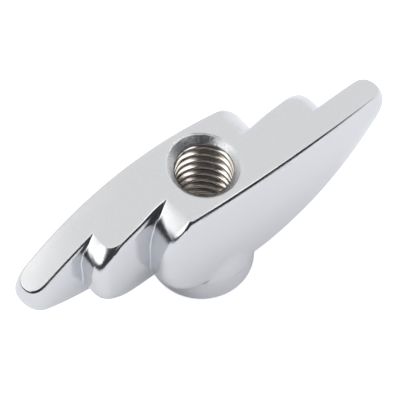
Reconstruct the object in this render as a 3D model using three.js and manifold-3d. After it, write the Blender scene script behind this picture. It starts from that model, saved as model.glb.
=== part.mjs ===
// Die-cast wing nut with three stepped feathers a side, and the steel threaded
// insert that its screw turns in. Millimetres, +Z up the bore, origin in the
// middle of the boss's bearing face, X along the wings.
import * as THREE from 'three';
import * as BufferGeometryUtils from 'three/addons/utils/BufferGeometryUtils.js';
import Module from 'manifold-3d';

const wasm = await Module();
wasm.setup();

// Heights over the bearing face
const HEIGHT = 20;            // top of the bore
const TOP_ARCH_RADIUS = 77;   // the top arches down towards the wing tips
const TOP_DISH_RADIUS = 61;   // and is dished across
const UNDERSIDE_HEIGHT = 3.8; // underside of the wings beside the boss
const UNDERSIDE_RADIUS = 38;  // the underside rises towards the tips

// Plan of one wing; the other is the same, turned half round the bore
const EDGE_RADIUS = 90;       // long outer edge, an arc
const EDGE_MIDDLE_X = 13.5;   // where that arc is furthest out
const EDGE_REACH = 6.66;      // and how far out it is there
const TIP_X = 24.1;
const TIP_ROUND = 1.8;
// The outer step with the end of the middle feather, then the inner step with the
// end of the hub's lobe. From its top an end swells out down to its shoulder, a share
// of the local height. It slants out towards its nose, at the top and at the shoulder.
const MIDDLE_FEATHER = {
  edgeY: -2.9, endX: 14.6, shoulder: 0.28, swell: 2.5, tuck: 5.0,
  topRound: 2.0, topSlant: 0.5, slant: 0.3,
};
const LOBE = {
  edgeY: 0.4, endX: 6.03, shoulder: 0.38, swell: 3.5, tuck: 3.9,
  topRound: 0.4, topSlant: 0.3, slant: 0.6,
};
const FEATHERS = [MIDDLE_FEATHER, LOBE];
const NOSE_ROUND = 1.7;       // rounding of a feather's nose in plan at its shoulder
const FOOT_NOSE_EXTRA = 1.4;  // and how much larger it is at the foot

// Section of the walls, as shares of the local height
const SHOULDER_START = 0.05;  // an end leaves the top at a slant, this far round its curve
const KEEL_SHARE = 0.55;      // below here the ends and the steps turn in again
const STEP_TUCK = 0.5;
const EDGE_ROUND_SHARE = 0.04;
const EDGE_ROUND = 0.4;
const WALL_SWELL = 0.62;
const FOOT_ROUND_SHARE = 0.92;
const FOOT_ROUND = 0.65;
const OVERRUN = 1;            // how far the wall shell runs past the arches
const SKIM = 0.02;            // the arches cut the shell just inside its end rings
const SLAB_LENGTH = 60;
const SLAB_WIDTH = 20;
const SLAB_LENGTH_STEPS = 40;
const SLAB_WIDTH_STEPS = 6;
const LEVELS = [0, 0.015, 0.04, 0.09, 0.17, 0.28, 0.4, 0.62, 0.8, 0.92, 0.97, 1];
const CURVE_STEPS = 8;

// Boss, bore and insert
const BOSS_RADIUS = 6.4;
const BOSS_EDGE_ROUND = 0.6;
const BOSS_EDGE_STEPS = 3;
const BOSS_TAPER_TOP = 10;    // the boss fades into the walls at this height
const BOSS_TAPER_RADIUS = 5.6;
const BOSS_OVERLAP = 1;       // how far the straight boss reaches into the wings
const SEAT_RADIUS = 4.25;     // mouth of the countersink at the top of the bore
const LIP_RADIUS = 3.4;       // and its small end, over the insert
const LIP = 0.72;             // metal left over the insert, as deep as the countersink
const CUTTER_OVERRUN = 2;     // how far the bore's cutter runs past both faces
const GAP = 0.3;              // clearance round the insert
const INSERT_RADIUS = 4.7;
const INSERT_TOP = HEIGHT - LIP - GAP;
const THREAD_CORE_RADIUS = 3.35; // core of a 5/16-18 UNC thread
const THREAD_LEAD_IN = 0.7;
const KNURL_DEPTH = 0.25;
const KNURL_BANDS = [[1.2, 7.6], [10.4, 16.8]];
const ROUND_STEPS = 48;
const WELD_DISTANCE = 1e-5;

const quarterRise = (share) => Math.sqrt(Math.max(0, 1 - (1 - share) ** 2));

const arc = (radius, x) => radius - Math.sqrt(radius * radius - x * x);

const topHeight = (x, y) => HEIGHT - arc(TOP_ARCH_RADIUS, x) + arc(TOP_DISH_RADIUS, y);

const undersideHeight = (x) => UNDERSIDE_HEIGHT + arc(UNDERSIDE_RADIUS, x);

// How far a long wall stands out from its line at a share of the height below the top
function wallOffset(share) {
  const round = EDGE_ROUND * (quarterRise(Math.min(1, share / EDGE_ROUND_SHARE)) - 1);
  const foot = Math.max(0, share - FOOT_ROUND_SHARE) / (1 - FOOT_ROUND_SHARE);
  const tuck = FOOT_ROUND * (1 - quarterRise(1 - foot));
  return round + WALL_SWELL * Math.sin(Math.PI * share) - tuck;
}

// How far a feather has turned in, 0 above the keel and 1 at the foot
function keelTurn(share) {
  return 1 - quarterRise(1 - Math.max(0, share - KEEL_SHARE) / (1 - KEEL_SHARE));
}

// X of a feather's end at its notch, which rolls over from the top in one large curve
function endReach(feather, share) {
  const start = quarterRise(SHOULDER_START);
  const down = Math.min(1, share / feather.shoulder);
  const turned = quarterRise(THREE.MathUtils.lerp(SHOULDER_START, 1, down));
  const rise = feather.swell * (turned - start) / (1 - start);
  return feather.endX + rise - feather.tuck * keelTurn(share);
}

// A feather's end at a share of the height: its notch, the tip of its nose, its rounding
function endShape(feather, share) {
  const down = Math.min(1, share / feather.shoulder);
  const notchX = endReach(feather, share);
  const lowRound = NOSE_ROUND + keelTurn(share) * FOOT_NOSE_EXTRA;
  const lowSlant = feather.slant * (1 - keelTurn(share));
  const round = THREE.MathUtils.lerp(feather.topRound, lowRound, down);
  const slant = THREE.MathUtils.lerp(feather.topSlant, lowSlant, down);
  return { notchX, noseX: notchX + slant, round };
}

// Distance of the long edge's line from the X axis
function edgeReach(x, offset) {
  const radius = EDGE_RADIUS + offset;
  return EDGE_REACH + offset - arc(radius, x - EDGE_MIDDLE_X);
}

// A feather's slanting end, from its notch to its rounded nose
function addEnd(path, end, notchY, noseY) {
  const nose = new THREE.Vector2(end.noseX, noseY);
  const along = new THREE.Vector2(end.notchX, notchY).sub(nose).normalize();
  const before = nose.clone().addScaledVector(along, end.round);
  path.lineTo(end.notchX, notchY);
  path.lineTo(before.x, before.y);
  path.quadraticCurveTo(nose.x, nose.y, nose.x - end.round, nose.y);
}

// Plan outline at a share of the height: one wing's half, then its half turn
function planOutline(share) {
  const out = wallOffset(share);
  const [outer, lobe] = FEATHERS.map((feather) => endShape(feather, share));
  const [outerY, innerY] = FEATHERS.map((feather) => feather.edgeY + out);
  const stepY = innerY - STEP_TUCK * keelTurn(share);
  const radius = EDGE_RADIUS + out;
  const angleAt = (x) => -Math.PI / 2 + Math.asin((x - EDGE_MIDDLE_X) / radius);
  const tipX = TIP_X + out;
  const tipStart = TIP_X - TIP_ROUND;
  const tipY = (outerY - edgeReach(tipStart, out)) / 2;
  const path = new THREE.Path();
  const centreY = EDGE_RADIUS - EDGE_REACH;
  const edgeStart = angleAt(lobe.round - lobe.noseX);
  path.absarc(EDGE_MIDDLE_X, centreY, radius, edgeStart, angleAt(tipStart));
  path.quadraticCurveTo(tipX, -edgeReach(TIP_X, out), tipX, tipY);
  path.quadraticCurveTo(tipX, outerY, tipStart, outerY);
  addEnd(path, outer, outerY, stepY);
  addEnd(path, lobe, stepY, edgeReach(-lobe.noseX, out));
  const half = path.getPoints(CURVE_STEPS).slice(0, -1);
  const turned = half.map((point) => new THREE.Vector2(-point.x, -point.y));
  return half.concat(turned);
}

// Rings of points down the walls; the first and last run past the two arches
function wingRings() {
  const rings = LEVELS.map((share) => planOutline(share).map((point) => {
    const top = topHeight(point.x, point.y);
    const height = THREE.MathUtils.lerp(top, undersideHeight(point.x), share);
    return new THREE.Vector3(point.x, point.y, height);
  }));
  const levelled = (ring, height) => ring.map((point) => point.clone().setZ(height));
  rings.unshift(levelled(rings[0], HEIGHT + OVERRUN));
  rings.push(levelled(rings.at(-1), UNDERSIDE_HEIGHT - OVERRUN));
  return rings;
}

// The walls as one closed shell, with a flat lid at either end
function wallShell() {
  const rings = wingRings();
  const count = rings[0].length;
  const last = (rings.length - 1) * count;
  const triangles = [];
  for (let upper = 0; upper < last; upper += count) {
    for (let i = 0; i < count; i += 1) {
      const next = (i + 1) % count;
      const lower = upper + count;
      triangles.push(upper + i, lower + i, lower + next);
      triangles.push(upper + i, lower + next, upper + next);
    }
  }
  const flat = (ring) => ring.map((point) => new THREE.Vector2(point.x, point.y));
  triangles.push(...THREE.ShapeUtils.triangulateShape(flat(rings[0]), []).flat());
  THREE.ShapeUtils.triangulateShape(flat(rings.at(-1)), []).forEach(([a, b, c]) => {
    triangles.push(last + c, last + b, last + a);
  });
  const geometry = new THREE.BufferGeometry();
  const positions = rings.flat().flatMap((point) => point.toArray());
  geometry.setAttribute('position', new THREE.Float32BufferAttribute(positions, 3));
  geometry.setIndex(triangles);
  return geometry;
}

// Everything between the arched and dished top and the arched underside
function archedSlab() {
  const geometry = new THREE.BoxGeometry(
    SLAB_LENGTH, SLAB_WIDTH, 1, SLAB_LENGTH_STEPS, SLAB_WIDTH_STEPS, 1);
  const { position } = geometry.attributes;
  for (let i = 0; i < position.count; i += 1) {
    const x = position.getX(i);
    const above = position.getZ(i) > 0;
    const top = topHeight(x, position.getY(i)) - SKIM;
    position.setZ(i, above ? top : undersideHeight(x) + SKIM);
  }
  return geometry;
}

function solid(geometry) {
  geometry.deleteAttribute('normal');
  geometry.deleteAttribute('uv');
  const merged = BufferGeometryUtils.mergeVertices(geometry, WELD_DISTANCE);
  return new wasm.Manifold(new wasm.Mesh({
    numProp: 3,
    vertProperties: new Float32Array(merged.attributes.position.array),
    triVerts: new Uint32Array(merged.index.array),
  }));
}

function geometryOf(manifold) {
  const mesh = manifold.getMesh();
  const geometry = new THREE.BufferGeometry();
  geometry.setAttribute('position', new THREE.BufferAttribute(mesh.vertProperties, 3));
  geometry.setIndex(new THREE.BufferAttribute(mesh.triVerts, 1));
  geometry.computeVertexNormals();
  return geometry;
}

// A turned solid standing on the Z axis, from (radius, height) corners going up
function turned(corners) {
  const profile = corners.map(([radius, height]) => new THREE.Vector2(radius, height));
  const geometry = new THREE.LatheGeometry(profile, ROUND_STEPS);
  geometry.rotateX(Math.PI / 2);
  return geometry;
}

function bossSolid() {
  const corners = [[0, 0]];
  for (let step = 0; step <= BOSS_EDGE_STEPS; step += 1) {
    const angle = (step / BOSS_EDGE_STEPS) * Math.PI / 2;
    const radius = BOSS_RADIUS - BOSS_EDGE_ROUND * (1 - Math.sin(angle));
    corners.push([radius, BOSS_EDGE_ROUND * (1 - Math.cos(angle))]);
  }
  corners.push([BOSS_RADIUS, UNDERSIDE_HEIGHT + BOSS_OVERLAP]);
  corners.push([BOSS_TAPER_RADIUS, BOSS_TAPER_TOP], [0, BOSS_TAPER_TOP]);
  return solid(turned(corners));
}

function boreSolid() {
  const flare = CUTTER_OVERRUN * (SEAT_RADIUS - LIP_RADIUS) / LIP;
  return solid(turned([
    [0, -CUTTER_OVERRUN],
    [INSERT_RADIUS + GAP, -CUTTER_OVERRUN],
    [INSERT_RADIUS + GAP, INSERT_TOP + GAP],
    [LIP_RADIUS, INSERT_TOP + GAP],
    [SEAT_RADIUS + flare, HEIGHT + CUTTER_OVERRUN],
    [0, HEIGHT + CUTTER_OVERRUN],
  ]));
}

function insertSolid() {
  const core = THREAD_CORE_RADIUS;
  const knurled = KNURL_BANDS.flatMap(([low, high]) => [
    [INSERT_RADIUS - KNURL_DEPTH, low - KNURL_DEPTH],
    [INSERT_RADIUS, low],
    [INSERT_RADIUS, high],
    [INSERT_RADIUS - KNURL_DEPTH, high + KNURL_DEPTH],
  ]);
  return solid(turned([
    [core, THREAD_LEAD_IN],
    [core + THREAD_LEAD_IN, 0],
    [INSERT_RADIUS - KNURL_DEPTH, 0],
    ...knurled,
    [INSERT_RADIUS - KNURL_DEPTH, INSERT_TOP],
    [core, INSERT_TOP],
    [core, THREAD_LEAD_IN],
  ]));
}

function part(name, manifold, colour, roughness, metalness) {
  const material = new THREE.MeshStandardMaterial({ color: colour, roughness, metalness });
  const mesh = new THREE.Mesh(geometryOf(manifold), material);
  mesh.name = name;
  return mesh;
}

const wings = solid(wallShell()).intersect(solid(archedSlab()));
const wingBody = wings.add(bossSolid()).subtract(boreSolid());

const wingNut = new THREE.Group();
wingNut.add(part('wing_body', wingBody, 0xd4d6da, 0.16, 1));
wingNut.add(part('threaded_insert', insertSolid(), 0xb9ae9d, 0.24, 1));

export default wingNut;
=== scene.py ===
"""Die-cast wing nut with a steel threaded insert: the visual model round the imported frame.

Everything is in metres in the frame's own axes: +Z up the bore, X along the wings,
origin in the middle of the boss's bearing face.
"""

import math

import bmesh
import bpy
import numpy as np
from mathutils import Matrix, Vector
from mathutils.geometry import delaunay_2d_cdt
from mathutils.kdtree import KDTree


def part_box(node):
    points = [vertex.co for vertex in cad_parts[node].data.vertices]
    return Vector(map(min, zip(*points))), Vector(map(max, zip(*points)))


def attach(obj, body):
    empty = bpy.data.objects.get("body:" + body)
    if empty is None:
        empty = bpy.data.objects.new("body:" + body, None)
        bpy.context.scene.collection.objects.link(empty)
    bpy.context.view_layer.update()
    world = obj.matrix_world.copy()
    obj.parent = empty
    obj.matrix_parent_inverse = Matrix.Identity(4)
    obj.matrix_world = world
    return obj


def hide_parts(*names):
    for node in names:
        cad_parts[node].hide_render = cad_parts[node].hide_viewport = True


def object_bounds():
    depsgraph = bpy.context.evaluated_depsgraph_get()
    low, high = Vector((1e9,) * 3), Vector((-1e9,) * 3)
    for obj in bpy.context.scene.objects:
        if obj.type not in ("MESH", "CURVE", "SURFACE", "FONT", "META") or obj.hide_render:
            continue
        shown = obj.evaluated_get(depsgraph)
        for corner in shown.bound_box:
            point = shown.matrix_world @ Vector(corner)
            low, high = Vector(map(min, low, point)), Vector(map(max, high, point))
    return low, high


bl_info = {
    "name": "Wing Nut",
    "version": (1, 0, 0),
    "blender": (4, 5, 0),
    "location": "View3D > Sidebar > Wing Nut",
    "description": "Builds a plated wing nut, its threaded insert and a small studio",
    "category": "Add Mesh",
}

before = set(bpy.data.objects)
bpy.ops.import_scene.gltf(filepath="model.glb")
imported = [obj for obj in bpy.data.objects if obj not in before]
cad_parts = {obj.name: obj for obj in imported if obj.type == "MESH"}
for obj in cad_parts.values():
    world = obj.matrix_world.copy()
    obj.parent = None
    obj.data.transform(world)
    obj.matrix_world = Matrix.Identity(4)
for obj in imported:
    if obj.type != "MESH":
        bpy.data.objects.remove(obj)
CAD_LOW, CAD_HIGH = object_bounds()
BODY_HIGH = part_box("wing_body")[1]
MM = 0.001
SUB_TYPE = {"subtype": "DISTANCE", "unit": "LENGTH", "precision": 5}

# Arches of the top and the underside, and the plan of one wing (the other is its half turn)
BORE_TOP = 19.97 * MM
TOP_ARCH_RADIUS = 77 * MM
TOP_DISH_RADIUS = 61 * MM
UNDERSIDE = 3.8 * MM
UNDERSIDE_RADIUS = 38 * MM
EDGE_RADIUS = 90 * MM
EDGE_MIDDLE_X = 13.5 * MM
EDGE_REACH = 6.66 * MM
TIP_X = BODY_HIGH.x - 0.6 * MM
TIP_ROUND = 1.9 * MM
OUTER_STEP_Y = -2.9 * MM
INNER_STEP_Y = 0.4 * MM
FEATHER_END = {
    "x": 14.6 * MM, "shoulder": 0.28, "swell": 2.5 * MM, "tuck": 5.0 * MM,
    "top_round": 2.0 * MM, "top_slant": 0.5 * MM, "slant": 0.3 * MM}
LOBE_END = {
    "x": 6.03 * MM, "shoulder": 0.38, "swell": 3.5 * MM, "tuck": 3.9 * MM,
    "top_round": 0.4 * MM, "top_slant": 0.3 * MM, "slant": 0.6 * MM}

# Points along each stretch of the plan, for one wing
LONG_EDGE_STEPS = 150
OUTER_STEP_STEPS = 40
INNER_STEP_STEPS = 50
TIP_STEPS = 14
NOTCH_STEPS = 6
END_STEPS = 20
NOSE_STEPS = 14

# Section of the walls; shares are of the local height
SHOULDER_SHARE = 0.4
SHOULDER_START = 0.05
KEEL_SHARE = 0.55
STEP_TUCK = 0.5 * MM
FOOT_NOSE_EXTRA = 1.4 * MM
FOOT_SHARE = 0.92
EDGE_SHARE = 0.044
SOFT_EDGE_SHARE = 0.065
EDGE_LEAN = 0.6
EDGE_FLATNESS = 0.5
TOP_EDGE_INSET = 0.06 * MM

# Where the middle feather's long edge is softer, and how far on each side
SOFT_NOTCH_X = 7.6 * MM
SOFT_NOTCH_REACH = 3 * MM
SOFT_NOSE_X = 16 * MM
SOFT_NOSE_REACH = 2.5 * MM

# Wear at the foot, and painted shade in the notches
FOOT_WEAR = 0.5
NOTCH_SHADE_REACH = 1.6 * MM
NOTCH_SHADE_START = 0.15

# Meshing: triangle sizes of the two filled faces, and their staggered grid
TOP_SPACING = 0.45 * MM
UNDERSIDE_SPACING = 0.6 * MM
ROW_SHARE = 0.866
CLEAR_SHARE = 0.6
SHARP_ANGLE = math.radians(50)
WELD_DISTANCE = 0.002 * MM

# Boss, bore and insert
TURN_STEPS = 128
SMOOTH_PASSES = 6
SOLVE_PASSES = 6
BOSS_ROUND = 0.6 * MM
ROOT_ROUND = 0.6 * MM
ROOT_ROOM_SHARE = 0.4
BEARING_INSETS = (0.05 * MM, 0.5 * MM)
BOSS_ROOM = 0.06 * MM
ROOM_BLEND = 0.12 * MM
BOSS_STRAIGHT = 0.7 * MM
BOSS_TAPER = 0.14
POCKET_RADIUS = 4.78 * MM
POCKET_CHAMFER = 0.12 * MM
LIP_RADIUS = 3.4 * MM
LIP_DEPTH = 0.72 * MM
LIP_BASE = 19.0 * MM
LIP_EDGE = 0.05 * MM
# Inset and drop in millimetres, and wear, of the rings over the countersink's rim
RIM_ROUND = (
    (0.15, 0.13, 0.3), (0.09, 0.08, 0.6), (0.02, 0.035, 1), (-0.06, 0.01, 0.6), (-0.15, 0, 0.2))
INSERT_RADIUS = 4.7 * MM
INSERT_TOP = 18.97 * MM
INSERT_CHAMFER = 0.2 * MM
KNURL_DEPTH = 0.15 * MM
KNURL_BANDS = ((1.2 * MM, 7.6 * MM), (10.4 * MM, 16.8 * MM))
LEAD_IN = 0.7 * MM
LEAD_OUT = 0.1 * MM
CORNER_EASE = 0.014
FLANK_SLOPE = 2.0
HALF_CREST_SHARE = 1 / 8

# Where the camera stands, seen from the point it looks at
VIEW_AZIMUTH = math.radians(-47.22)
VIEW_ELEVATION = math.radians(58.604)
VIEW_ROLL = math.radians(1.857)
VIEW_DISTANCE = 0.3
VIEW_LENS = 238.1
VIEW_TARGET = Vector((-2.67, -2.02, 17.97)) * MM

# The room that the metal mirrors: where one brightness turns into another along a direction
SHADE_TILT = 0.308
SHADE_BLUR = 0.04
SHADE_SIDE = (-0.25, 0.0)
STRIP_LEFT = (-0.5, -0.4)
STRIP_RIGHT = (0.5, 0.4)
STRIP_FRONT = (0.1, 0.22)
OVERHEAD_AXIS = (0.46, 0.89, 0)
OVERHEAD_END = (0.15, 0.03)

# Floor and softbox
FLOOR_SIZE = 1.5
FLOOR_GAP = 0.02 * MM
FLOOR_GLOW_SEEN = 0.6
SOFTBOX_SIZE = 0.6
SOFTBOX_HEIGHT = 0.6


# ---------------------------------------------------------------- properties


class WingNutSizes(bpy.types.PropertyGroup):
    """Sizes of the casting's roundings and of the thread."""

    wall_swell: bpy.props.FloatProperty(
        name="Wall swell", description="How far the walls belly out half way down",
        default=0.57 * MM, min=0, max=1 * MM, **SUB_TYPE)
    nose_round: bpy.props.FloatProperty(
        name="Nose rounding", description="Rounding of a feather's nose below its shoulder",
        default=1.7 * MM, min=0.5 * MM, max=2 * MM, **SUB_TYPE)
    notch_round: bpy.props.FloatProperty(
        name="Notch rounding", description="Rounding at the bottom of the notches between feathers",
        default=0.22 * MM, min=0.05 * MM, max=0.5 * MM, **SUB_TYPE)
    foot_round: bpy.props.FloatProperty(
        name="Foot rounding", description="Rounding where the walls turn under",
        default=0.65 * MM, min=0.1 * MM, max=1.5 * MM, **SUB_TYPE)
    boss_radius: bpy.props.FloatProperty(
        name="Boss radius", description="Radius of the boss below the wings",
        default=6.35 * MM, min=6 * MM, max=6.4 * MM, **SUB_TYPE)
    seat_radius: bpy.props.FloatProperty(
        name="Countersink radius", description="Radius of the bore's countersink at the top",
        default=4.25 * MM, min=4 * MM, max=5 * MM, **SUB_TYPE)
    thread_pitch: bpy.props.FloatProperty(
        name="Thread pitch", description="Pitch of the screw thread",
        default=1.41 * MM, min=1 * MM, max=1.5 * MM, **SUB_TYPE)
    thread_radius: bpy.props.FloatProperty(
        name="Thread radius", description="Outer radius of the screw thread",
        default=3.97 * MM, min=3.9 * MM, max=4.1 * MM, **SUB_TYPE)
    core_radius: bpy.props.FloatProperty(
        name="Thread core radius", description="Radius over the crests of the insert's thread",
        default=3.33 * MM, min=3.2 * MM, max=3.4 * MM, **SUB_TYPE)


class WingNutFinishes(bpy.types.PropertyGroup):
    """Colours and finishes of the plating and the steel."""

    plating: bpy.props.FloatVectorProperty(
        name="Plating", description="Colour of the bright plating", subtype="COLOR",
        size=3, min=0, max=1, default=(0.62, 0.625, 0.64))
    plating_gloss: bpy.props.FloatProperty(
        name="Plating roughness", description="Roughness of the cleanest plating",
        default=0.13, min=0, max=1, subtype="FACTOR")
    steel: bpy.props.FloatVectorProperty(
        name="Steel", description="Colour of the cut thread", subtype="COLOR",
        size=3, min=0, max=1, default=(0.83, 0.775, 0.71))
    steel_gloss: bpy.props.FloatProperty(
        name="Steel roughness", description="Roughness of the cut thread",
        default=0.11, min=0, max=1, subtype="FACTOR")


class WingNutStudio(bpy.types.PropertyGroup):
    """The floor and the soft light round it."""

    floor: bpy.props.FloatVectorProperty(
        name="Floor", description="Colour of the floor", subtype="COLOR",
        size=3, min=0, max=1, default=(0.85, 0.86, 0.89))
    overhead: bpy.props.FloatProperty(
        name="Overhead light", description="Brightness of the soft light overhead",
        default=1.9, min=0, max=10)
    surround: bpy.props.FloatProperty(
        name="Surround", description="Brightness of the pale side of the room",
        default=1.05, min=0, max=10)
    shade: bpy.props.FloatProperty(
        name="Shade", description="Brightness of the unlit side of the room",
        default=0.05, min=0, max=1)
    shade_top: bpy.props.FloatProperty(
        name="Shade height", description="How far up the unlit side reaches, 0 the horizon, 1 overhead",
        default=0.479, min=0, max=1)
    softbox: bpy.props.FloatProperty(
        name="Softbox", description="Power of the light over the floor",
        default=1.5, min=0, max=50, unit="POWER")
    floor_glow: bpy.props.FloatProperty(
        name="Floor glow", description="Light that the floor gives of itself",
        default=0.11, min=0, max=2)


# ------------------------------------------------------------------- shapes


def quarter_rise(share):
    """Height of a quarter circle at a share of its radius, 0 to 1."""
    share = min(1.0, max(0.0, share))
    return math.sqrt(1 - (1 - share) ** 2)


def smooth(value):
    """Smooth step from 0 to 1."""
    value = min(1.0, max(0.0, value))
    return value * value * (3 - 2 * value)


def mix(a, b, share):
    return a + (b - a) * share


def arc(radius, x):
    """How far an arc of this radius has turned away from its tangent at x."""
    return radius - math.sqrt(radius * radius - x * x)


def top_height(x, y):
    return BORE_TOP - arc(TOP_ARCH_RADIUS, x) + arc(TOP_DISH_RADIUS, y)


def underside_height(x):
    return UNDERSIDE + arc(UNDERSIDE_RADIUS, x)


def edge_reach(x):
    """Distance of the long outer edge from the X axis."""
    return EDGE_REACH - arc(EDGE_RADIUS, x - EDGE_MIDDLE_X)


def wall_offset(share, x, sizes, edge_share=EDGE_SHARE):
    """How far a wall stands out from its line, at a share of the height below the top."""
    height = top_height(x, 0) - underside_height(x)
    part = min(1.0, share / edge_share)
    inset = EDGE_LEAN * edge_share * height * (1 - mix(quarter_rise(part), part, EDGE_FLATNESS))
    foot = (share - FOOT_SHARE) / (1 - FOOT_SHARE)
    tuck = sizes.foot_round * (1 - quarter_rise(1 - max(0.0, foot)))
    return sizes.wall_swell * math.sin(math.pi * share) - inset - tuck


def boss_reach(height, boss_radius):
    """Radius that the walls must have at this height to hold the boss, which tapers into them."""
    return boss_radius + BOSS_ROOM - BOSS_TAPER * max(0.0, height - UNDERSIDE - BOSS_STRAIGHT)


def keel_turn(share):
    """How far the underside of a feather has turned in, 0 above the keel and 1 at the foot."""
    return 1 - quarter_rise(1 - max(0.0, share - KEEL_SHARE) / (1 - KEEL_SHARE))


def end_reach(end, share):
    """X of a feather's end, which leaves the top at a slant and rolls over in one large curve."""
    start = quarter_rise(SHOULDER_START)
    turned = quarter_rise(mix(SHOULDER_START, 1, min(1.0, share / end["shoulder"])))
    rise = end["swell"] * (turned - start) / (1 - start)
    return end["x"] + rise - end["tuck"] * keel_turn(share)


def bend(start, corner, end, steps):
    """Points of a quadratic bend from start round corner to end, without the last one."""
    points = []
    for step in range(steps):
        t = step / steps
        points.append(start * (1 - t) ** 2 + corner * (2 * t * (1 - t)) + end * t * t)
    return points


def run(start_x, end_x, steps, height_at):
    """Points along an edge given as y over x, without the last one."""
    points = []
    for step in range(steps):
        x = mix(start_x, end_x, step / steps)
        points.append(Vector((x, height_at(x))))
    return points


def inner_step_edge(share, sizes):
    """The middle feather's long edge: its rounding is larger at the notch and at the nose."""
    def height_at(x):
        near_notch = smooth(1 - abs(x - SOFT_NOTCH_X) / SOFT_NOTCH_REACH)
        near_nose = smooth(1 - abs(x - SOFT_NOSE_X) / SOFT_NOSE_REACH)
        soft = mix(EDGE_SHARE, SOFT_EDGE_SHARE, max(near_notch, near_nose))
        return INNER_STEP_Y + wall_offset(share, x, sizes, soft) - STEP_TUCK * keel_turn(share)
    return height_at


def end_edge(notch_x, nose_x, from_edge, to_edge, notch, nose):
    """A feather's slanting end, from the rounded notch at its foot to its rounded nose."""
    low = Vector((notch_x, from_edge(notch_x)))
    high = Vector((nose_x, to_edge(nose_x)))
    along = (high - low).normalized()
    after_notch = low + along * notch
    before_nose = high - along * nose
    before_notch = Vector((notch_x + notch, from_edge(notch_x + notch)))
    points = bend(before_notch, low, after_notch, NOTCH_STEPS)
    points += bend(after_notch, (after_notch + before_nose) / 2, before_nose, END_STEPS)
    after_nose = Vector((nose_x - nose, to_edge(nose_x - nose)))
    return points + bend(before_nose, high, after_nose, NOSE_STEPS)


def plan_outline(share, sizes):
    """Plan outline of both wings at a share of the height below the top."""
    end_x = end_reach(FEATHER_END, share)
    lobe_x = end_reach(LOBE_END, share)
    below = min(1.0, share / SHOULDER_SHARE)
    under = keel_turn(share)
    foot_nose = sizes.nose_round + under * FOOT_NOSE_EXTRA
    nose = mix(FEATHER_END["top_round"], foot_nose, below)
    lobe_nose = mix(LOBE_END["top_round"], foot_nose, below)
    notch = sizes.notch_round

    def long_edge(x):
        return -edge_reach(x) - wall_offset(share, x, sizes)

    def outer_step(x):
        return OUTER_STEP_Y + wall_offset(share, x, sizes)

    inner_step = inner_step_edge(share, sizes)
    tip_x = TIP_X + wall_offset(share, TIP_X, sizes)
    tip_start = TIP_X - TIP_ROUND
    tip_middle = Vector((tip_x, (long_edge(tip_start) + outer_step(tip_start)) / 2))
    feather_nose_x = end_x + mix(FEATHER_END["top_slant"], FEATHER_END["slant"] * (1 - under), below)
    lobe_nose_x = lobe_x + mix(LOBE_END["top_slant"], LOBE_END["slant"] * (1 - under), below)
    half = run(lobe_nose - lobe_nose_x, tip_start, LONG_EDGE_STEPS, long_edge)
    tip_in = Vector((tip_start, long_edge(tip_start)))
    tip_out = Vector((tip_start, outer_step(tip_start)))
    half += bend(tip_in, Vector((tip_x, long_edge(TIP_X))), tip_middle, TIP_STEPS)
    half += bend(tip_middle, Vector((tip_x, outer_step(TIP_X))), tip_out, TIP_STEPS)
    half += run(tip_start, end_x + notch, OUTER_STEP_STEPS, outer_step)
    half += end_edge(end_x, feather_nose_x, outer_step, inner_step, notch, nose)
    height = mix(top_height(lobe_x, 0), underside_height(lobe_x), share)
    notch_x = max(lobe_x, boss_reach(height, sizes.boss_radius))
    half += run(feather_nose_x - nose, notch_x + notch, INNER_STEP_STEPS, inner_step)
    half += end_edge(notch_x, lobe_nose_x, inner_step, lambda x: -long_edge(-x), notch, lobe_nose)
    return half + [-point for point in half]


def make_room_for_boss(point, height, boss_radius):
    """Beside the boss the walls grow just enough to take its tapering round."""
    need = boss_reach(height, boss_radius)
    radius = point.length
    gap = max(0.0, ROOM_BLEND - abs(radius - need)) / ROOM_BLEND
    return point * ((max(radius, need) + gap * gap * ROOM_BLEND / 4) / radius)


# ------------------------------------------------------------ mesh building


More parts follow.
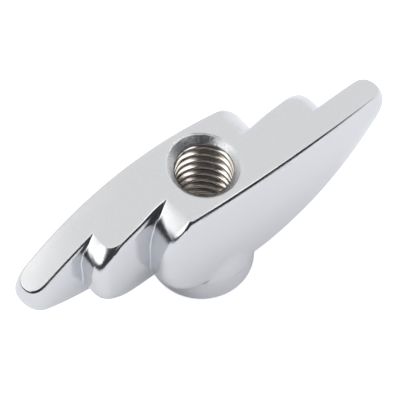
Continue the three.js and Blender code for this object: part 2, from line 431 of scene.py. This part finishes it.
class Builder:
    """A bmesh that notes how worn each point is, how far it lies in a recess for painted shade, and
    where it was machined.
    """

    def __init__(self):
        self.mesh = bmesh.new()
        self.wear = self.mesh.verts.layers.float.new("wear")
        self.recess_shade = self.mesh.verts.layers.float.new("recess_shade")
        self.machined = self.mesh.verts.layers.float.new("machined")

    def point(self, place, wear=0.0, recess_shade=0.0):
        vertex = self.mesh.verts.new(place)
        vertex[self.wear] = wear
        vertex[self.recess_shade] = recess_shade
        return vertex

    def ring(self, places, wear=0.0, recess_shade=0.0):
        return [self.point(place, wear, recess_shade) for place in places]

    def bridge(self, upper, lower):
        """Quads between two closed rings with the same number of points."""
        for index, (a, b) in enumerate(zip(upper, lower)):
            after = (index + 1) % len(upper)
            self.mesh.faces.new((a, b, lower[after], upper[after]))

    def fill(self, outer, inner, height_at, spacing):
        """Even triangles between two rings that lie one inside the other in plan."""
        rim = outer + inner
        places = [vertex.co.xy / MM for vertex in rim]
        edges = closed_edges(0, len(outer)) + closed_edges(len(outer), len(inner))
        places += grid_clear_of(places, spacing / MM)
        found, _, faces, sources = delaunay_2d_cdt(places, edges, [], 0, 1e-6, True)[:4]
        middles = [sum((found[index] for index in face), Vector((0, 0))) / 3 for face in faces]
        kept = within(middles, places[:len(outer)]) & ~within(middles, places[len(outer):len(rim)])
        corners = {}
        for face in (face for face, keep in zip(faces, kept) if keep):
            for index in face:
                if index not in corners:
                    source = sources[index][0] if sources[index] else len(rim)
                    spot = found[index] * MM
                    corners[index] = (
                        rim[source] if source < len(rim)
                        else self.point((spot.x, spot.y, height_at(spot.x, spot.y))))
            self.mesh.faces.new([corners[index] for index in face])

    def piece(self, name, material):
        """Turns the bmesh into a smooth object in the scene."""
        bmesh.ops.recalc_face_normals(self.mesh, faces=self.mesh.faces)
        data = bpy.data.meshes.new(name)
        self.mesh.to_mesh(data)
        self.mesh.free()
        data.materials.append(material)
        data.shade_smooth()
        data.set_sharp_from_angle(angle=SHARP_ANGLE)
        made = bpy.data.objects.new(name, data)
        bpy.context.scene.collection.objects.link(made)
        return made


def within(places, outline):
    """For each place, whether it lies inside the closed outline."""
    x, y = np.array([place[:] for place in places]).T[:, :, None]
    start = np.array([point[:] for point in outline])
    end = np.roll(start, -1, axis=0)
    straddles = (start[:, 1] > y) != (end[:, 1] > y)
    rise = np.where(end[:, 1] == start[:, 1], 1, end[:, 1] - start[:, 1])
    crossing = start[:, 0] + (y - start[:, 1]) * (end[:, 0] - start[:, 0]) / rise
    return np.sum(straddles & (crossing > x), axis=1) % 2 == 1


def closed_edges(start, count):
    return [(start + index, start + (index + 1) % count) for index in range(count)]


def grid_clear_of(rim, spacing):
    """A staggered grid over the rim's box, without the points that crowd the rim."""
    tree = KDTree(len(rim))
    for index, place in enumerate(rim):
        tree.insert((place.x, place.y, 0), index)
    tree.balance()
    low = Vector((min(p.x for p in rim), min(p.y for p in rim)))
    high = Vector((max(p.x for p in rim), max(p.y for p in rim)))
    points = []
    row_height = spacing * ROW_SHARE
    rows = int((high.y - low.y) / row_height)
    columns = int((high.x - low.x) / spacing)
    for row in range(1, rows + 1):
        for column in range(columns + 1):
            place = Vector((low.x + (column + row % 2 / 2) * spacing, low.y + row * row_height))
            if tree.find((place.x, place.y, 0))[2] > spacing * CLEAR_SHARE:
                points.append(place)
    return points


def shrink(points, distance):
    """The same closed outline, moved inwards."""
    moved = []
    for index, point in enumerate(points):
        along = points[(index + 1) % len(points)] - points[index - 1]
        moved.append(point + Vector((-along.y, along.x)).normalized() * distance)
    return moved


# -------------------------------------------------------------- wing body


def wall_levels():
    """Shares of the height that get a ring, close together where the walls bend."""
    edge = [EDGE_SHARE * (1 - math.cos(math.radians(turn))) for turn in range(0, 91, 15)]
    shoulder = [SHOULDER_SHARE * (1 - math.cos(math.radians(turn))) for turn in range(25, 91, 5)]
    side = [mix(SHOULDER_SHARE, FOOT_SHARE, step / 12) for step in range(1, 13)]
    foot = [mix(FOOT_SHARE, 1, math.sin(math.radians(turn))) for turn in range(10, 91, 10)]
    return edge + shoulder + side + foot


def edge_wear(share):
    """Wear is strongest half way round the top edge and again at the foot."""
    top = 1 - abs(share / EDGE_SHARE - 0.5) * 1.2
    foot = (share - FOOT_SHARE) / (1 - FOOT_SHARE)
    return max(0.0, top, FOOT_WEAR * foot)


def notch_shade(point, share):
    """How far a point of the walls lies inside one of the notches, 0 to 1, which sets the painted shade
    there.
    """
    corners = (
        Vector((end_reach(FEATHER_END, share), OUTER_STEP_Y)),
        Vector((end_reach(LOBE_END, share), INNER_STEP_Y)),
    )
    nearest = min(min((point - corner).length, (point + corner).length) for corner in corners)
    return 1 - smooth(nearest / NOTCH_SHADE_REACH)


def wall_ring(builder, share, sizes):
    places = []
    for flat in plan_outline(share, sizes):
        height = mix(top_height(flat.x, flat.y), underside_height(flat.x), share)
        flat = make_room_for_boss(flat, height, sizes.boss_radius)
        places.append((flat.x, flat.y, height))
    ring = builder.ring(places, wear=edge_wear(share))
    # Painted shade in the notches: none at the top edge, full a little way down
    for vertex in ring:
        vertex[builder.recess_shade] = notch_shade(vertex.co.xy, share) * smooth(share / NOTCH_SHADE_START)
    return ring


def turned_ring(builder, radius_at, height_at, wear=0.0, recess_shade=0.0):
    """A ring round the bore whose radius and height may change with the angle."""
    places = []
    for step in range(TURN_STEPS):
        angle = math.tau * step / TURN_STEPS
        radius = radius_at(step)
        x, y = radius * math.cos(angle), radius * math.sin(angle)
        places.append((x, y, height_at(x, y)))
    return builder.ring(places, wear, recess_shade)


def always(value):
    return lambda *_: value


def root_rounding(foot, radius):
    """Rounding between boss and underside at each step round, as large as there is room for."""
    tree = KDTree(len(foot))
    for index, vertex in enumerate(foot):
        tree.insert((vertex.co.x, vertex.co.y, 0), index)
    tree.balance()
    sizes = []
    for step in range(TURN_STEPS):
        angle = math.tau * step / TURN_STEPS
        room = tree.find((radius * math.cos(angle), radius * math.sin(angle), 0))[2]
        sizes.append(min(ROOT_ROUND, room * ROOT_ROOM_SHARE))
    for _ in range(SMOOTH_PASSES):
        count = len(sizes)
        sizes = [min(sizes[i], (sizes[i - 1] + sizes[(i + 1) % count]) / 2) for i in range(count)]
    return sizes


def add_boss(builder, foot, sizes):
    """The boss below the wings, down to its bearing face; returns the face's inner ring."""
    radius = sizes.boss_radius
    root = root_rounding(foot, radius)
    rings = []
    for turn in range(0, 91, 15):
        out, down = 1 - math.sin(math.radians(turn)), 1 - math.cos(math.radians(turn))
        # The rounding at the boss's root gets painted shade
        ring = turned_ring(
            builder, lambda step: radius + root[step] * out,
            lambda x, y: underside_height(x), recess_shade=0.7)
        for step, vertex in enumerate(ring):
            vertex.co.z -= root[step] * down
        rings.append(ring)
    builder.fill(foot, rings[0], lambda x, y: underside_height(x), UNDERSIDE_SPACING)
    for share in (0.1, 0.3, 0.6, 1):
        ring = turned_ring(builder, always(radius), always(BOSS_ROUND))
        for upper, vertex in zip(rings[6], ring):
            vertex.co.z = mix(upper.co.z, BOSS_ROUND, share)
        rings.append(ring)
    for turn in range(15, 91, 15):
        tuck = BOSS_ROUND * (1 - math.cos(math.radians(turn)))
        height = BOSS_ROUND * (1 - math.sin(math.radians(turn)))
        rings.append(turned_ring(builder, always(radius - tuck), always(height), wear=0.8))
    for inset in BEARING_INSETS:
        rings.append(turned_ring(builder, always(radius - BOSS_ROUND - inset), always(0), wear=0.2))
    for upper, lower in zip(rings, rings[1:]):
        builder.bridge(upper, lower)
    return rings[-1]


def countersink_radius(sizes, step):
    """Where the countersink's cone meets the arched top at this step round."""
    angle = math.tau * step / TURN_STEPS
    radius = sizes.seat_radius
    for _ in range(SOLVE_PASSES):
        height = top_height(radius * math.cos(angle), radius * math.sin(angle))
        radius = sizes.seat_radius + height - BORE_TOP
    return radius


def add_bore(builder, bearing, sizes):
    """The pocket that holds the insert, the lip over it and the countersink; returns its rim."""
    rim = [countersink_radius(sizes, step) for step in range(TURN_STEPS)]
    turns = [
        (always(POCKET_RADIUS + POCKET_CHAMFER), always(0), 0.3),
        (always(POCKET_RADIUS), always(POCKET_CHAMFER), 0.6),
        (always(POCKET_RADIUS), always(6 * MM), 0),
        (always(POCKET_RADIUS), always(LIP_BASE - 0.1 * MM), 0),
        (always(POCKET_RADIUS), always(LIP_BASE), 0),
        (always(LIP_RADIUS + LIP_EDGE), always(LIP_BASE), 0),
        (always(LIP_RADIUS), always(LIP_BASE + LIP_EDGE), 0),
        (always(LIP_RADIUS), always(BORE_TOP - LIP_DEPTH), 0.3),
        (always(LIP_RADIUS + 0.02 * MM), always(BORE_TOP - LIP_DEPTH + 0.04 * MM), 0.6),
        (always(LIP_RADIUS + 0.06 * MM), always(BORE_TOP - LIP_DEPTH + 0.09 * MM), 0.2),
    ]
    for inset, drop, wear in RIM_ROUND:
        turns.append((
            lambda step, inset=inset: rim[step] - inset * MM,
            lambda x, y, drop=drop: top_height(x, y) - drop * MM, wear))
    last = bearing
    for radius_at, height_at, wear in turns:
        ring = turned_ring(builder, radius_at, height_at, wear)
        for vertex in ring:
            vertex[builder.machined] = 1.0
        builder.bridge(last, ring)
        last = ring
    for vertex in last:
        vertex[builder.machined] = 0.0
    return last


class WINGNUT_OT_body(bpy.types.Operator):
    """Build the cast body: two feathered wings, the boss and the countersunk bore"""

    bl_idname = "wing_nut.body"
    bl_label = "Wing body"
    bl_options = {"REGISTER", "UNDO"}

    def execute(self, context):
        sizes = context.scene.wing_nut_sizes
        builder = Builder()
        rings = [wall_ring(builder, share, sizes) for share in wall_levels()]
        for upper, lower in zip(rings, rings[1:]):
            builder.bridge(upper, lower)
        bearing = add_boss(builder, rings[-1], sizes)
        rim = add_bore(builder, bearing, sizes)
        holding = [
            (place.x, place.y, top_height(place.x, place.y))
            for place in shrink([vertex.co.xy for vertex in rings[0]], TOP_EDGE_INSET)]
        held = builder.ring(holding, wear=0.3)
        builder.bridge(held, rings[0])
        builder.fill(held, rim, top_height, TOP_SPACING)
        made = builder.piece("cast_body", plated_casting(context.scene.wing_nut_finishes))
        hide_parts("wing_body")
        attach(made, "root")
        return {"FINISHED"}


# --------------------------------------------------------- threaded insert


def thread_radius_at(turn, sizes):
    """Radius of the thread at a share of one turn of pitch, 0 at a crest's middle."""
    away = abs((turn + 0.5) % 1 - 0.5) * sizes.thread_pitch
    crest_half = sizes.thread_pitch * HALF_CREST_SHARE
    radius = sizes.core_radius + max(0.0, away - crest_half) * FLANK_SLOPE
    return min(sizes.thread_radius, radius)


def thread_rows(sizes):
    """Shares of one pitch that get a row: a pair at each corner of the profile, and the flanks."""
    flank = (sizes.thread_radius - sizes.core_radius) / FLANK_SLOPE / sizes.thread_pitch
    rows = [0, 0.5]
    for side in (-1, 1):
        for corner in (HALF_CREST_SHARE, HALF_CREST_SHARE + flank):
            rows += [side * (corner - CORNER_EASE), side * (corner + CORNER_EASE)]
        rows += [side * (HALF_CREST_SHARE + flank * part) for part in (0.33, 0.66)]
    return sorted(row % 1 for row in rows)


def eased_radius(turn, height, low, high, sizes):
    """The thread's radius, cut back by the lead-in cone at either end."""
    radius = thread_radius_at(turn, sizes)
    below = low + LEAD_IN - height
    above = height - (high - LEAD_OUT)
    return max(radius, sizes.core_radius + max(below, above, 0.0))


def add_thread(builder, low, high, sizes):
    """The helical thread from low to high; returns its lowest and highest ring."""
    pitch = sizes.thread_pitch
    full_depth = sizes.thread_radius - sizes.core_radius
    rows = thread_rows(sizes)
    turns = [turn + row for turn in range(-2, int(high / pitch) + 2) for row in rows]
    rings = []
    for turn in turns:
        places = []
        for step in range(TURN_STEPS):
            lead = step / TURN_STEPS
            here = min(high / pitch - lead, max(low / pitch - lead, turn))
            height = (here + lead) * pitch
            radius = eased_radius(here, height, low, high, sizes)
            angle = math.tau * lead
            places.append((radius * math.cos(angle), radius * math.sin(angle), height))
        rings.append(builder.ring(places))
        for step, vertex in enumerate(rings[-1]):
            depth = (vertex.co.xy.length - sizes.core_radius) / full_depth
            # Depth into the thread's roots, which sets the painted shade there
            vertex[builder.recess_shade] = min(1.0, depth)
            vertex[builder.wear] = max(0.0, 1 - 3 * depth)
    for index, (lower, upper) in enumerate(zip(rings, rings[1:])):
        for step in range(TURN_STEPS - 1):
            builder.mesh.faces.new((lower[step], upper[step], upper[step + 1], lower[step + 1]))
        if index + len(rows) + 1 < len(rings):
            # The helix closes on itself one pitch higher
            above = rings[index + len(rows):index + len(rows) + 2]
            builder.mesh.faces.new((lower[-1], upper[-1], above[1][0], above[0][0]))
    return rings[0], rings[-1]


def knurled_radius(height):
    """Radius of the insert's outside at each step round: straight teeth in the two bands."""
    in_band = any(low < height < high for low, high in KNURL_BANDS)
    depth = KNURL_DEPTH if in_band else 0
    return lambda step: INSERT_RADIUS - depth * (step % 2)


class WINGNUT_OT_insert(bpy.types.Operator):
    """Build the threaded insert that the body is cast round"""

    bl_idname = "wing_nut.insert"
    bl_label = "Threaded insert"
    bl_options = {"REGISTER", "UNDO"}

    def execute(self, context):
        sizes = context.scene.wing_nut_sizes
        builder = Builder()
        lowest, highest = add_thread(builder, 0, INSERT_TOP, sizes)
        last = lowest
        heights = [0, INSERT_CHAMFER]
        for low, high in KNURL_BANDS:
            heights += [low, low + INSERT_CHAMFER, high - INSERT_CHAMFER, high]
        heights += [INSERT_TOP - INSERT_CHAMFER, INSERT_TOP]
        for height in heights:
            radius_at = knurled_radius(height)
            if height in (0, INSERT_TOP):
                radius_at = always(INSERT_RADIUS - INSERT_CHAMFER)
            ring = turned_ring(builder, radius_at, always(height), wear=0.2)
            builder.bridge(last, ring)
            last = ring
        builder.bridge(last, highest)
        bmesh.ops.remove_doubles(builder.mesh, verts=builder.mesh.verts, dist=WELD_DISTANCE)
        made = builder.piece("steel_insert", steel_thread(context.scene.wing_nut_finishes))
        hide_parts("threaded_insert")
        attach(made, "root")
        return {"FINISHED"}


# -------------------------------------------------------------- materials


def new_group(name, inputs, outputs):
    """An empty shader node group with named inputs (socket type, default) and outputs."""
    group = bpy.data.node_groups.new(name, "ShaderNodeTree")
    for label, (kind, default) in inputs.items():
        socket = group.interface.new_socket(label, in_out="INPUT", socket_type=kind)
        if default is not None:
            socket.default_value = default
    for label, kind in outputs.items():
        group.interface.new_socket(label, in_out="OUTPUT", socket_type=kind)
    group.nodes.new("NodeGroupInput")
    group.nodes.new("NodeGroupOutput")
    return group


def feed(tree, socket, value):
    """Sets a socket to a value, or links it to the output socket of another node."""
    if isinstance(value, bpy.types.NodeSocket):
        tree.links.new(value, socket)
    else:
        socket.default_value = value


def add_node(tree, kind, inputs=None, **settings):
    """Adds a node with its settings, and feeds its inputs."""
    node = tree.nodes.new(kind)
    for name, value in settings.items():
        setattr(node, name, value)
    for name, value in (inputs or {}).items():
        feed(tree, node.inputs[name], value)
    return node


def remap(tree, value, low, high, new_low=0.0, new_high=1.0):
    node = add_node(tree, "ShaderNodeMapRange", {
        "Value": value, "From Min": low, "From Max": high, "To Min": new_low, "To Max": new_high})
    return node.outputs["Result"]


def noise(tree, place, scale, detail=2.0):
    node = add_node(tree, "ShaderNodeTexNoise", {"Vector": place, "Scale": scale, "Detail": detail})
    return node.outputs["Fac"]


def calculate(tree, operation, first, second):
    node = add_node(tree, "ShaderNodeMath", {0: first, 1: second}, operation=operation)
    return node.outputs[0]


def mix_colours(tree, share, first, second):
    node = add_node(tree, "ShaderNodeMix", data_type="RGBA")
    # The colour sockets of a mix node are its seventh and eighth
    for index, value in ((0, share), (6, first), (7, second)):
        feed(tree, node.inputs[index], value)
    return node.outputs[2]


def grain_group():
    """Fine grain over slow waves, as left on metal by the mould or the cutter."""
    name = "Metal Grain"
    if name in bpy.data.node_groups:
        return bpy.data.node_groups[name]
    group = new_group(name, {
        "Place": ("NodeSocketVector", None),
        "Fine Scale": ("NodeSocketFloat", 5000.0),
        "Wave Scale": ("NodeSocketFloat", 350.0),
        "Wave Share": ("NodeSocketFloat", 0.5),
    }, {"Height": "NodeSocketFloat", "Speckle": "NodeSocketFloat", "Drift": "NodeSocketFloat"})
    given, out = group.nodes["Group Input"].outputs, group.nodes["Group Output"]
    fine = noise(group, given["Place"], given["Fine Scale"], 3.0)
    wave = noise(group, given["Place"], given["Wave Scale"], 1.0)
    waved = calculate(group, "MULTIPLY", wave, given["Wave Share"])
    group.links.new(calculate(group, "ADD", fine, waved), out.inputs["Height"])
    group.links.new(remap(group, fine, 0.35, 0.7), out.inputs["Speckle"])
    group.links.new(remap(group, wave, 0.3, 0.7), out.inputs["Drift"])
    return group


def wear_and_shade_group():
    """Where handling has polished the edges, and where the corners get painted shade."""
    name = "Handling Wear"
    if name in bpy.data.node_groups:
        return bpy.data.node_groups[name]
    group = new_group(name, {
        "Place": ("NodeSocketVector", None),
        "Wear": ("NodeSocketFloat", 0.0),
        "Recess Shade": ("NodeSocketFloat", 0.0),
        "Breakup Scale": ("NodeSocketFloat", 900.0),
    }, {"Polish": "NodeSocketFloat", "Corner Shade": "NodeSocketFloat"})
    given, out = group.nodes["Group Input"].outputs, group.nodes["Group Output"]
    patches = noise(group, given["Place"], given["Breakup Scale"], 4.0)
    polish = calculate(group, "MULTIPLY", given["Wear"], remap(group, patches, 0.35, 0.65))
    corner_shade = calculate(group, "MULTIPLY", given["Recess Shade"], remap(group, patches, 0.7, 0.3))
    group.links.new(polish, out.inputs["Polish"])
    group.links.new(corner_shade, out.inputs["Corner Shade"])
    return group


def scratch_group():
    """Thin hairlines that run roughly one way, with gaps."""
    name = "Hairline Scratches"
    if name in bpy.data.node_groups:
        return bpy.data.node_groups[name]
    group = new_group(name, {
        "Place": ("NodeSocketVector", None),
        "Across Scale": ("NodeSocketFloat", 3000.0),
        "Along Scale": ("NodeSocketFloat", 150.0),
        "Sharpness": ("NodeSocketFloat", 0.62),
    }, {"Lines": "NodeSocketFloat"})
    given, out = group.nodes["Group Input"].outputs, group.nodes["Group Output"]
    stretch = add_node(group, "ShaderNodeCombineXYZ", {
        "X": given["Along Scale"], "Y": given["Across Scale"], "Z": given["Across Scale"]})
    place = add_node(group, "ShaderNodeVectorMath", {
        0: given["Place"], 1: stretch.outputs[0]}, operation="MULTIPLY")
    lines = noise(group, place.outputs[0], 1.0, 2.0)
    masked = remap(group, lines, given["Sharpness"], 0.8)
    group.links.new(masked, out.inputs["Lines"])
    return group


def place_group(tree, group, inputs):
    return add_node(tree, "ShaderNodeGroup", inputs, node_tree=group).outputs


def start_material(name):
    """A material with its node tree, Principled shader, object coordinates, the wear mask and the mask
    of painted shade.
    """
    material = bpy.data.materials.new(name)
    material.use_nodes = True
    tree = material.node_tree
    shader = tree.nodes["Principled BSDF"]
    shader.inputs["Metallic"].default_value = 1.0
    place = add_node(tree, "ShaderNodeTexCoord").outputs["Object"]
    wear = add_node(tree, "ShaderNodeAttribute", attribute_name="wear").outputs["Fac"]
    recess_shade = add_node(tree, "ShaderNodeAttribute", attribute_name="recess_shade").outputs["Fac"]
    return material, tree, shader, place, wear, recess_shade


def shade_of(colour, brightness, warmth=0.0):
    return (
        colour[0] * brightness * (1 + warmth), colour[1] * brightness,
        colour[2] * brightness * (1 - warmth), 1)


def plated_casting(finishes):
    """Bright plating over a casting: faint mould grain, soft waves, polished edges, painted shade in
    the notches and round the boss's root, cut surfaces.
    """
    material, tree, shader, place, wear, recess_shade = start_material("plated casting")
    machined = add_node(tree, "ShaderNodeAttribute", attribute_name="machined").outputs["Fac"]
    grain = place_group(tree, grain_group(), {
        "Place": place, "Fine Scale": 6000.0, "Wave Scale": 420.0, "Wave Share": 0.7})
    worn_and_shaded = place_group(tree, wear_and_shade_group(), {
        "Place": place, "Wear": wear, "Recess Shade": recess_shade, "Breakup Scale": 700.0})
    lines = place_group(tree, scratch_group(), {
        "Place": place, "Across Scale": 2600.0, "Along Scale": 260.0})["Lines"]
    colour = mix_colours(
        tree, grain["Speckle"], shade_of(finishes.plating, 0.97), shade_of(finishes.plating, 1.02))
    colour = mix_colours(tree, worn_and_shaded["Polish"], colour, shade_of(finishes.plating, 1.08, 0.01))
    # Painted shade: darker, bluish plating in the notches and round the boss's root
    colour = mix_colours(tree, worn_and_shaded["Corner Shade"], colour, shade_of(finishes.plating, 0.86, -0.08))
    tree.links.new(colour, shader.inputs["Base Color"])
    rough = remap(tree, grain["Drift"], 0, 1, finishes.plating_gloss, finishes.plating_gloss + 0.07)
    rough = calculate(tree, "ADD", rough, remap(tree, lines, 0, 1, 0, 0.08))
    rough = calculate(tree, "ADD", rough, remap(tree, worn_and_shaded["Corner Shade"], 0, 1, 0, 0.12))
    rough = calculate(tree, "ADD", rough, remap(tree, machined, 0, 1, 0, 0.08))
    tree.links.new(rough, shader.inputs["Roughness"])
    coarse = calculate(tree, "MULTIPLY", grain["Height"], remap(tree, machined, 0, 1, 1, 7))
    bump = add_node(tree, "ShaderNodeBump", {
        "Strength": 0.6, "Distance": 0.012 * MM, "Height": coarse})
    tree.links.new(bump.outputs["Normal"], shader.inputs["Normal"])
    return material


def steel_thread(finishes):
    """Cut steel: warm grey, with the cutter's fine rings round the bore, and painted shade, dark brown,
    in the thread's roots.
    """
    material, tree, shader, place, wear, recess_shade = start_material("cut steel thread")
    grain = place_group(tree, grain_group(), {
        "Place": place, "Fine Scale": 6000.0, "Wave Scale": 500.0, "Wave Share": 0.6})
    worn_and_shaded = place_group(tree, wear_and_shade_group(), {
        "Place": place, "Wear": wear, "Recess Shade": recess_shade, "Breakup Scale": 1200.0})
    lines = place_group(tree, scratch_group(), {
        "Place": place, "Across Scale": 900.0, "Along Scale": 900.0, "Sharpness": 0.5})["Lines"]
    colour = mix_colours(
        tree, grain["Speckle"], shade_of(finishes.steel, 0.9), shade_of(finishes.steel, 1.04))
    colour = mix_colours(tree, worn_and_shaded["Polish"], colour, shade_of(finishes.steel, 1.25, -0.03))
    # Painted shade: the thread darkens to dark brown towards its roots
    colour = mix_colours(
        tree, remap(tree, recess_shade, 0.45, 1.0), colour, shade_of(finishes.steel, 0.22, 0.12))
    tree.links.new(colour, shader.inputs["Base Color"])
    rough = remap(tree, grain["Drift"], 0, 1, finishes.steel_gloss, finishes.steel_gloss + 0.1)
    rough = calculate(tree, "ADD", rough, remap(tree, lines, 0, 1, 0, 0.1))
    tree.links.new(rough, shader.inputs["Roughness"])
    bump = add_node(tree, "ShaderNodeBump", {
        "Strength": 0.3, "Distance": 0.006 * MM, "Height": grain["Height"]})
    tree.links.new(bump.outputs["Normal"], shader.inputs["Normal"])
    return material


# ------------------------------------------------------------------ stage


def add_floor(studio):
    """A wide plain floor under the nut."""
    mesh = bmesh.new()
    bmesh.ops.create_grid(mesh, x_segments=8, y_segments=8, size=FLOOR_SIZE)
    data = bpy.data.meshes.new("floor")
    mesh.to_mesh(data)
    mesh.free()
    floor = bpy.data.objects.new("floor", data)
    floor.location.z = CAD_LOW.z - FLOOR_GAP
    bpy.context.scene.collection.objects.link(floor)
    material = bpy.data.materials.new("floor")
    material.use_nodes = True
    tree = material.node_tree
    shader = tree.nodes["Principled BSDF"]
    shader.inputs["Base Color"].default_value = (*studio.floor, 1)
    shader.inputs["Roughness"].default_value = 0.9
    shader.inputs["Specular IOR Level"].default_value = 0.0
    shader.inputs["Emission Color"].default_value = (0.98, 0.99, 1.03, 1)
    seen = add_node(tree, "ShaderNodeLightPath").outputs["Is Camera Ray"]
    glow = remap(tree, seen, 0, 1, studio.floor_glow, studio.floor_glow + FLOOR_GLOW_SEEN)
    tree.links.new(glow, shader.inputs["Emission Strength"])
    # Seen from below, the floor doesn't hide the nut
    below = add_node(tree, "ShaderNodeNewGeometry").outputs["Backfacing"]
    clear = add_node(tree, "ShaderNodeBsdfTransparent").outputs[0]
    surface = add_node(tree, "ShaderNodeMixShader", {0: below, 1: shader.outputs[0], 2: clear})
    tree.links.new(surface.outputs[0], tree.nodes["Material Output"].inputs["Surface"])
    data.materials.append(material)


def add_softbox(studio):
    """The overhead light as the floor sees it; what the metal mirrors is in the room."""
    light = bpy.data.lights.new("softbox", "AREA")
    light.shape = "DISK"
    light.size = SOFTBOX_SIZE
    light.energy = studio.softbox
    softbox = bpy.data.objects.new("softbox", light)
    softbox.location = (0, 0, SOFTBOX_HEIGHT)
    softbox.visible_glossy = False
    softbox.visible_camera = False
    bpy.context.scene.collection.objects.link(softbox)


def reach_along(tree, direction, axis):
    """How far a unit direction points along an axis, -1 to 1."""
    node = add_node(tree, "ShaderNodeVectorMath", {0: direction, 1: axis}, operation="DOT_PRODUCT")
    return node.outputs["Value"]


def all_of(tree, *masks):
    """Where every mask holds."""
    held = masks[0]
    for mask in masks[1:]:
        held = calculate(tree, "MULTIPLY", held, mask)
    return held


def grey(level):
    return (level, level, level, 1)


def add_room(studio):
    """A pale room that is unlit low down on the camera's side, which the metal mirrors."""
    world = bpy.data.worlds.new("room")
    bpy.context.scene.world = world
    world.use_nodes = True
    tree = world.node_tree
    tree.nodes.clear()
    direction = add_node(tree, "ShaderNodeTexCoord").outputs["Generated"]
    toward = reach_along(tree, direction, (math.sin(VIEW_AZIMUTH), -math.cos(VIEW_AZIMUTH), 0))
    sideways = reach_along(tree, direction, (math.cos(VIEW_AZIMUTH), math.sin(VIEW_AZIMUTH), 0))
    height = add_node(tree, "ShaderNodeSeparateXYZ", {0: direction}).outputs["Z"]
    # The unlit side reaches higher on the right than on the left
    above = calculate(tree, "SUBTRACT", height, calculate(tree, "MULTIPLY", sideways, SHADE_TILT))
    top, bottom = studio.shade_top + SHADE_BLUR, studio.shade_top - SHADE_BLUR
    unlit_side = all_of(tree, remap(tree, above, top, bottom), remap(tree, toward, *SHADE_SIDE))
    strip = all_of(
        tree, remap(tree, sideways, *STRIP_LEFT), remap(tree, sideways, *STRIP_RIGHT),
        remap(tree, toward, *STRIP_FRONT))
    dark = calculate(tree, "MAXIMUM", unlit_side, strip)
    across = reach_along(tree, direction, OVERHEAD_AXIS)
    bright = all_of(tree, remap(tree, above, bottom, top), remap(tree, across, *OVERHEAD_END))
    level = mix_colours(tree, bright, grey(studio.surround), grey(studio.overhead))
    level = mix_colours(tree, dark, level, (studio.shade, studio.shade, studio.shade * 1.1, 1))
    seen = add_node(tree, "ShaderNodeLightPath").outputs["Is Camera Ray"]
    level = mix_colours(tree, seen, level, grey(1))
    background = add_node(tree, "ShaderNodeBackground", {"Color": level})
    out = add_node(tree, "ShaderNodeOutputWorld")
    tree.links.new(background.outputs[0], out.inputs["Surface"])


def toward_camera():
    """Unit direction from the nut to the camera."""
    return Vector((
        math.sin(VIEW_AZIMUTH) * math.cos(VIEW_ELEVATION),
        -math.cos(VIEW_AZIMUTH) * math.cos(VIEW_ELEVATION),
        math.sin(VIEW_ELEVATION)))


def add_camera():
    back = toward_camera()
    level = Vector((math.cos(VIEW_AZIMUTH), math.sin(VIEW_AZIMUTH), 0))
    right = level * math.cos(VIEW_ROLL) + back.cross(level) * math.sin(VIEW_ROLL)
    rows = Matrix((right, back.cross(right), back))
    data = bpy.data.cameras.new("camera")
    data.lens = VIEW_LENS
    data.sensor_width = 36
    data.clip_start = 0.01
    camera = bpy.data.objects.new("camera", data)
    camera.location = VIEW_TARGET + back * VIEW_DISTANCE
    camera.rotation_euler = rows.transposed().to_euler()
    bpy.context.scene.collection.objects.link(camera)
    bpy.context.scene.camera = camera


class WINGNUT_OT_studio(bpy.types.Operator):
    """Build the floor, the soft light and the camera"""

    bl_idname = "wing_nut.studio"
    bl_label = "Studio"
    bl_options = {"REGISTER", "UNDO"}

    def execute(self, context):
        studio = context.scene.wing_nut_studio
        add_floor(studio)
        add_softbox(studio)
        add_room(studio)
        add_camera()
        context.scene.view_settings.view_transform = "Standard"
        return {"FINISHED"}


# ------------------------------------------------------------------ add-on


class WINGNUT_PT_panel(bpy.types.Panel):
    """Sizes, finishes and the buttons that build each piece"""

    bl_idname = "WINGNUT_PT_panel"
    bl_label = "Wing Nut"
    bl_space_type = "VIEW_3D"
    bl_region_type = "UI"
    bl_category = "Wing Nut"

    def draw(self, context):
        for name in SETTINGS:
            settings = getattr(context.scene, name)
            column = self.layout.column(align=True)
            for field in settings.__annotations__:
                column.prop(settings, field)
        for operator in OPERATORS:
            self.layout.operator(operator.bl_idname)


SETTINGS = {
    "wing_nut_sizes": WingNutSizes,
    "wing_nut_finishes": WingNutFinishes,
    "wing_nut_studio": WingNutStudio,
}
OPERATORS = (WINGNUT_OT_body, WINGNUT_OT_insert, WINGNUT_OT_studio)


def register():
    for kind in (*SETTINGS.values(), *OPERATORS, WINGNUT_PT_panel):
        bpy.utils.register_class(kind)
    for name, kind in SETTINGS.items():
        setattr(bpy.types.Scene, name, bpy.props.PointerProperty(type=kind))


def unregister():
    for name in SETTINGS:
        delattr(bpy.types.Scene, name)
    for kind in (WINGNUT_PT_panel, *OPERATORS, *SETTINGS.values()):
        bpy.utils.unregister_class(kind)


def main():
    register()
    bpy.ops.wing_nut.body()
    bpy.ops.wing_nut.insert()
    bpy.ops.wing_nut.studio()
    bpy.context.view_layer.update()


if __name__ == "__main__":
    main()
